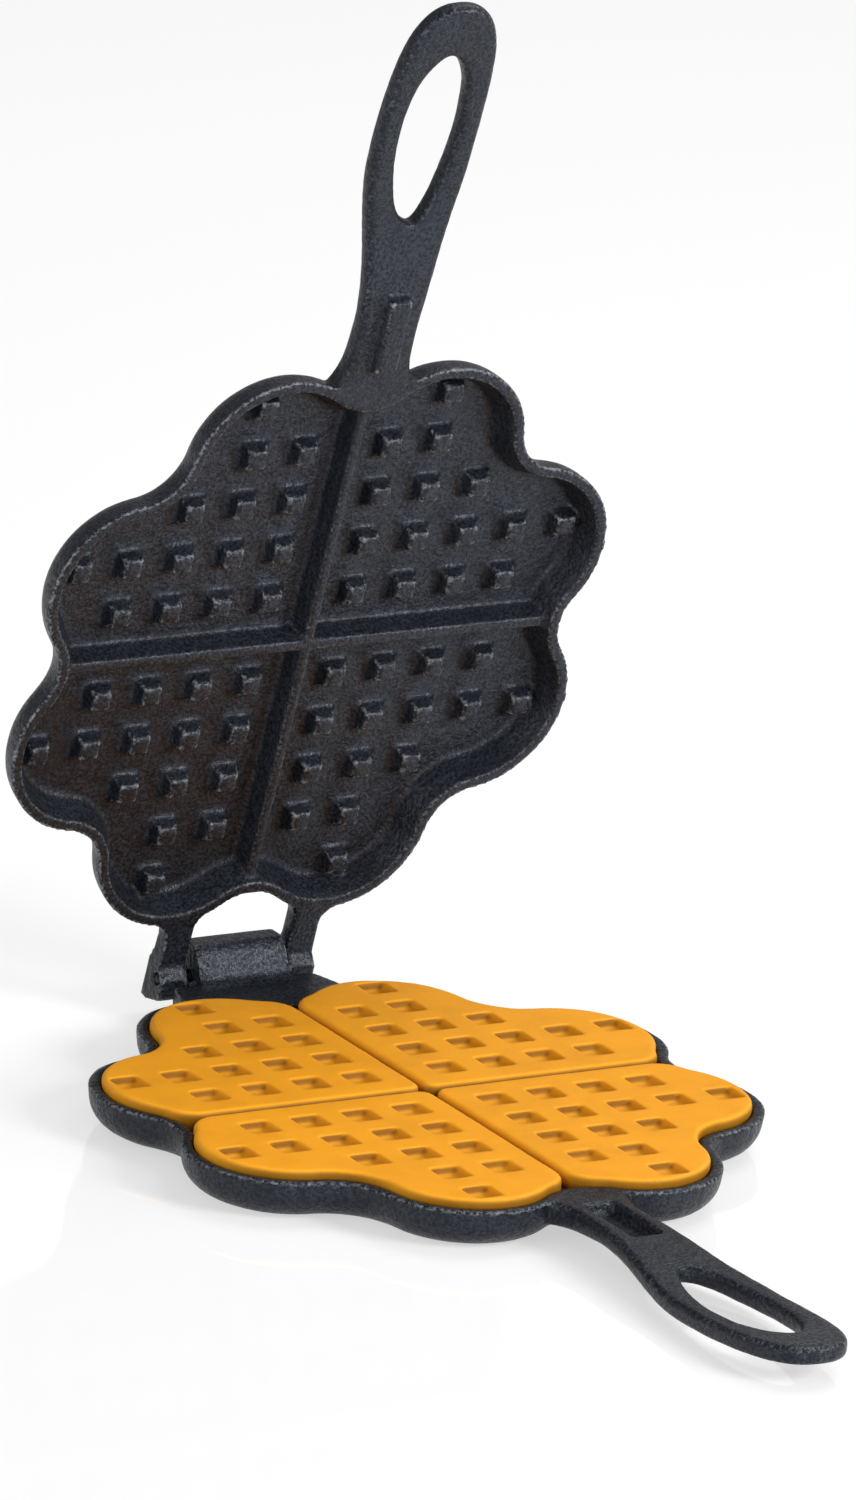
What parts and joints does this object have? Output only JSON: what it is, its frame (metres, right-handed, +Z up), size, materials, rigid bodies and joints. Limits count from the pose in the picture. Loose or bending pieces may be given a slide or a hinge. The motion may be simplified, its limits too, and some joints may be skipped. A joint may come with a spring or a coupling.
{
  "type": "stovetop waffle iron",
  "caption": "Cast iron waffle iron for a hob: two lobed plates with heart-shaped cavities, hinged at the back, with looped handles and waffles inside.",
  "frame": {"origin": "centre of the lower plate's flat underside", "axes": "+Z up, -Y towards the handles, +Y towards the hinge, +X to the right seen from the handles; stored with the upper plate opened by 75 degrees"},
  "size_m": [0.189, 0.3406, 0.3341],
  "materials": {
    "cast_iron": "seasoned sand casting, satin",
    "pin_steel": "darkened steel",
    "waffle": "baked, matt"
  },
  "bodies": {
    "lower_plate": {"lower_pan": "cast_iron", "lower_ribs": "cast_iron", "lower_pegs": "cast_iron", "lower_handle": "cast_iron", "lower_hinge_block": "cast_iron"},
    "upper_plate": {"upper_pan": "cast_iron", "upper_ribs": "cast_iron", "upper_pegs": "cast_iron", "upper_handle": "cast_iron", "upper_left_arm": "cast_iron", "upper_right_arm": "cast_iron", "hinge_pin": "pin_steel"},
    "waffle_front_left": {"waffle_front_left": "waffle"},
    "waffle_front_right": {"waffle_front_right": "waffle"},
    "waffle_back_left": {"waffle_back_left": "waffle"},
    "waffle_back_right": {"waffle_back_right": "waffle"}
  },
  "joints": [
    {"name": "hinge", "type": "hinge", "parent": "lower_plate", "child": "upper_plate", "pos_m": [0, 0.11347, 0.0131], "axis": [-1, 0, 0], "range_deg": [-75, 30]},
    {"name": "waffle_front_left_lift", "type": "slide", "parent": "lower_plate", "child": "waffle_front_left", "axis": [0, 0, 1], "range_m": [0, 0.04]},
    {"name": "waffle_front_right_lift", "type": "slide", "parent": "lower_plate", "child": "waffle_front_right", "axis": [0, 0, 1], "range_m": [0, 0.04]},
    {"name": "waffle_back_left_lift", "type": "slide", "parent": "lower_plate", "child": "waffle_back_left", "axis": [0, 0, 1], "range_m": [0, 0.04]},
    {"name": "waffle_back_right_lift", "type": "slide", "parent": "lower_plate", "child": "waffle_back_right", "axis": [0, 0, 1], "range_m": [0, 0.04]}
  ]
}
